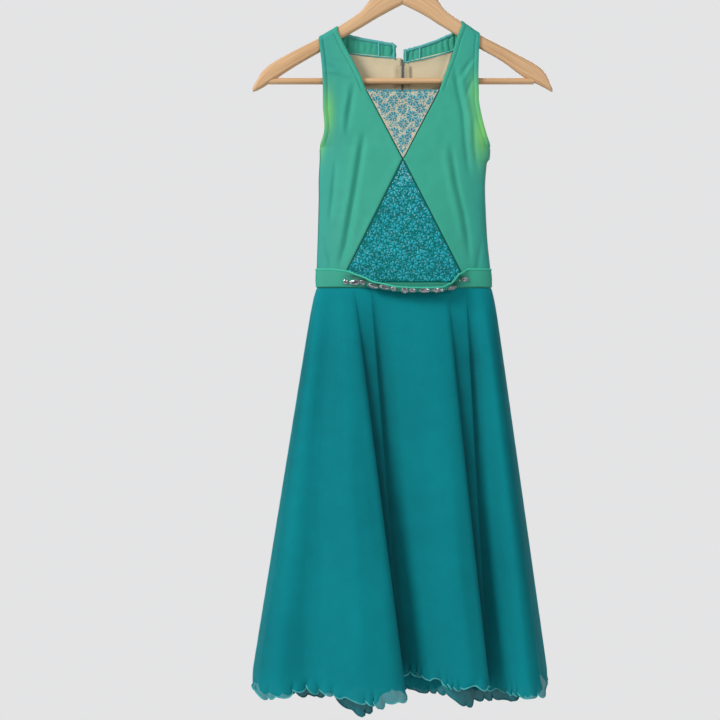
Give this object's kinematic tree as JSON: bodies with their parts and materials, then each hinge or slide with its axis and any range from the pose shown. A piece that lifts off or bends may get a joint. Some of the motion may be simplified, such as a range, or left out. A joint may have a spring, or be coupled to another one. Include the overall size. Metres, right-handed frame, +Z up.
{
  "type": "lyrical dance dress on a wooden hanger",
  "caption": "Sleeveless dance dress with lace insets, a stone-set belt and a two-layer flared chiffon skirt, hanging on a wooden hanger with a trouser bar.",
  "frame": {"origin": "where the rail bears, at the inner top of the hanger's hook", "axes": "+Z up, +Y from the dress's front to its back, +X to the wearer's left"},
  "size_m": [0.4455, 0.1222, 1.1389],
  "materials": {
    "green_jersey": "satin jersey",
    "lace_on_nude": "blue floral lace on nude mesh",
    "sequined_lace": "sequined floral lace on green",
    "nude_mesh": "fine stretch mesh",
    "teal_chiffon": "sheer chiffon",
    "cut_stone": "cut and foiled",
    "zip_tape": "woven tape",
    "zip_metal": "satin",
    "pale_wood": "clear satin varnish",
    "steel_wire": "polished"
  },
  "bodies": {
    "dress": {"front_panel_left": "green_jersey", "front_panel_right": "green_jersey", "back_panel_left": "green_jersey", "back_panel_right": "green_jersey", "neck_band_left": "green_jersey", "neck_band_right": "green_jersey", "inner_waistband": "green_jersey", "belt": "green_jersey", "lace_inset_upper": "lace_on_nude", "lace_inset_lower": "sequined_lace", "mesh_yoke_left": "nude_mesh", "mesh_yoke_right": "nude_mesh", "skirt_outer_front": "teal_chiffon", "skirt_outer_back": "teal_chiffon", "skirt_under_front": "teal_chiffon", "skirt_under_back": "teal_chiffon", "stone_01": "cut_stone", "stone_02": "cut_stone", "stone_03": "cut_stone", "stone_04": "cut_stone", "stone_05": "cut_stone", "stone_06": "cut_stone", "stone_07": "cut_stone", "stone_08": "cut_stone", "stone_09": "cut_stone", "stone_10": "cut_stone", "stone_11": "cut_stone", "stone_12": "cut_stone", "stone_13": "cut_stone", "zip_tape": "zip_tape", "zip_slider": "zip_metal", "hanger_arm_left": "pale_wood", "hanger_arm_right": "pale_wood", "hanger_bar": "pale_wood", "hanger_hook": "steel_wire"},
    "zip_pull": {"zip_pull": "zip_metal"}
  },
  "joints": [
    {"name": "zip_pull_swing", "type": "hinge", "parent": "dress", "child": "zip_pull", "pos_m": [0, 0.01269, -0.19], "axis": [1, 0, 0], "range_deg": [0, 150]}
  ]
}
